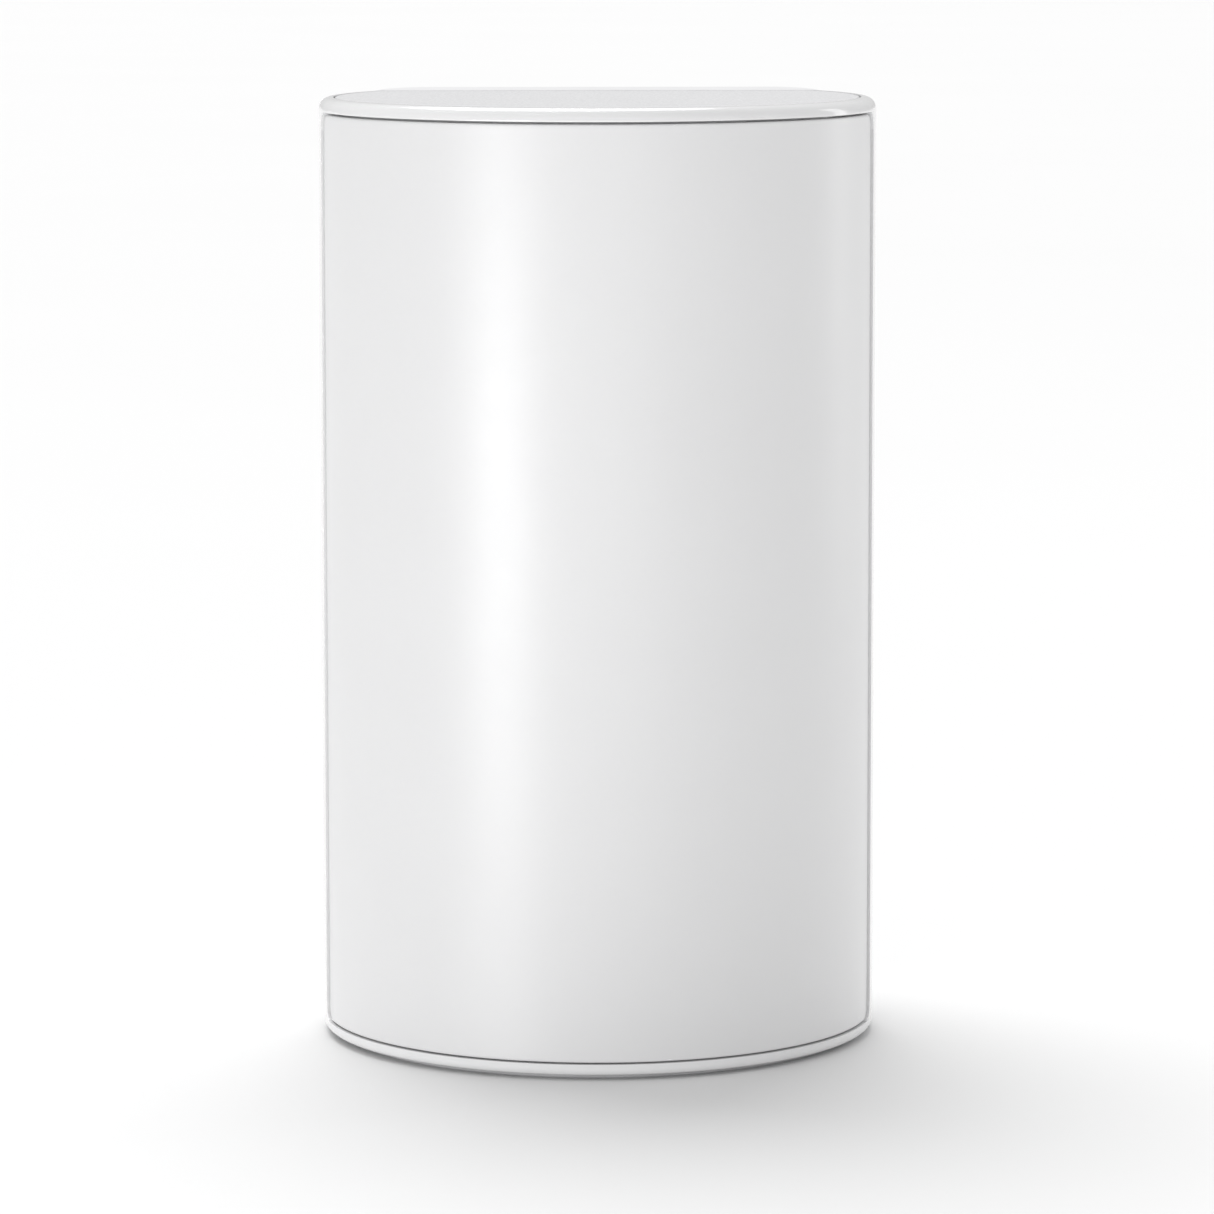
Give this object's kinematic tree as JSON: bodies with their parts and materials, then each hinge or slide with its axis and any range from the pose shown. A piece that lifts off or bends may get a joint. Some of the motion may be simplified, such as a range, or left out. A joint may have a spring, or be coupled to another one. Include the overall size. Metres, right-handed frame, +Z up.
{
  "type": "mesh wifi node",
  "caption": "Round-fronted white tower wifi node with a wrap-round front cover, glossy rim, top inlay, flat-backed rear housing, port bay and slide-off wall bracket.",
  "frame": {"origin": "middle of the object's bottom, on the surface that it stands on", "axes": "+Z up, the round front faces -Y, the flat back and the sockets face +Y, +X is to the right seen from the front"},
  "size_m": [0.092, 0.087, 0.156],
  "materials": {
    "cover": "satin",
    "frame": "gloss",
    "inlay": "fine grain",
    "rear": "matte",
    "bay": "matte",
    "rubber": "matte",
    "dark_plastic": "matte",
    "board": "solder mask",
    "aluminium": "satin",
    "steel": "plated",
    "gold": "gold plated",
    "pad": "matte",
    "clear": "clear plastic"
  },
  "bodies": {
    "housing": {"main_frame": "frame", "front_cover": "cover", "top_inlay": "inlay", "rear_housing": "rear", "port_bay": "bay", "base_plate": "rear", "foot_ring": "rubber", "rear_foot_left": "rubber", "rear_foot_right": "rubber", "pair_switch": "dark_plastic", "reset_switch": "dark_plastic", "button_board": "board", "status_led": "clear", "light_pipe": "clear", "main_board": "board", "heat_sink": "aluminium", "thermal_pad_cpu": "pad", "thermal_pad_radio": "pad", "cpu_chip": "dark_plastic", "radio_chip": "dark_plastic", "memory_chip": "dark_plastic", "flash_chip": "dark_plastic", "shield_can_left": "steel", "shield_can_right": "steel", "ethernet_jack_left": "steel", "ethernet_jack_right": "steel", "network_magnetics": "dark_plastic", "power_jack": "dark_plastic", "capacitor_left": "aluminium", "capacitor_right": "aluminium", "inductor": "dark_plastic", "antenna_carrier": "dark_plastic", "antenna_outer_left": "gold", "antenna_inner_left": "gold", "antenna_inner_right": "gold", "antenna_outer_right": "gold", "antenna_lead_outer_left": "dark_plastic", "antenna_lead_inner_left": "dark_plastic", "antenna_lead_inner_right": "dark_plastic", "antenna_lead_outer_right": "dark_plastic", "antenna_connector_outer_left": "gold", "antenna_connector_inner_left": "gold", "antenna_connector_inner_right": "gold", "antenna_connector_outer_right": "gold", "base_screw_1": "steel", "base_screw_2": "steel", "base_screw_3": "steel", "base_screw_4": "steel", "board_screw_1": "steel", "board_screw_2": "steel", "board_screw_3": "steel", "board_screw_4": "steel"},
    "pair_cap": {"pair_button": "cover", "pair_switch_plunger": "steel"},
    "reset_pin": {"reset_switch_plunger": "steel"},
    "bracket": {"wall_bracket": "rear"}
  },
  "joints": [
    {"name": "pair_press", "type": "slide", "parent": "housing", "child": "pair_cap", "axis": [0, 0, 1], "range_m": [0, 0.0006], "stiffness_N_per_m": 2500},
    {"name": "reset_press", "type": "slide", "parent": "housing", "child": "reset_pin", "axis": [0, 0, 1], "range_m": [0, 0.0005], "stiffness_N_per_m": 3000},
    {"name": "bracket_slide", "type": "slide", "parent": "housing", "child": "bracket", "axis": [0, 0, -1], "range_m": [0, 0.012]}
  ]
}
